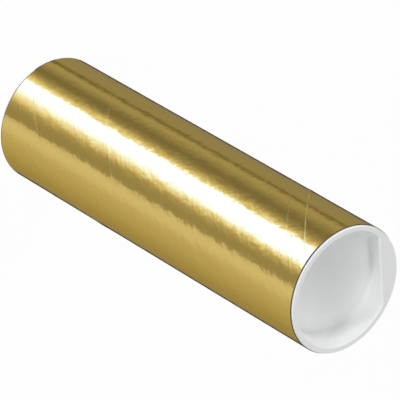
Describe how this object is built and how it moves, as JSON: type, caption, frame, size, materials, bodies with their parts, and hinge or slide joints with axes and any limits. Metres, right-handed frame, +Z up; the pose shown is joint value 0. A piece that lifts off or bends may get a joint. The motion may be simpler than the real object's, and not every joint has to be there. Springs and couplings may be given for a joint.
{
  "type": "mailing tube",
  "caption": "Round board mailing tube with a gold foil outside, closed at each end by a white push-in plastic cap with a recessed face and a flat pull tab.",
  "frame": {"origin": "middle of the bottom cap's flange face, on the tube's axis, where the part stands", "axes": "+Z up along the tube's axis, +X towards the caps' pull tabs"},
  "size_m": [0.0676, 0.0674, 0.2306],
  "materials": {
    "gold_foil_board": "spiral-wound board laminated with bright gold foil outside, bare grey board inside",
    "white_plastic": "moulded white polyethylene with a soft sheen"
  },
  "bodies": {
    "tube": {"tube": "gold_foil_board"},
    "top_cap": {"top_cap": "white_plastic"},
    "bottom_cap": {"bottom_cap": "white_plastic"}
  },
  "joints": [
    {"name": "top_cap_pull", "type": "slide", "parent": "tube", "child": "top_cap", "axis": [0, 0, 1], "range_m": [0, 0.04]},
    {"name": "bottom_cap_pull", "type": "slide", "parent": "tube", "child": "bottom_cap", "axis": [0, 0, -1], "range_m": [0, 0.04]}
  ]
}
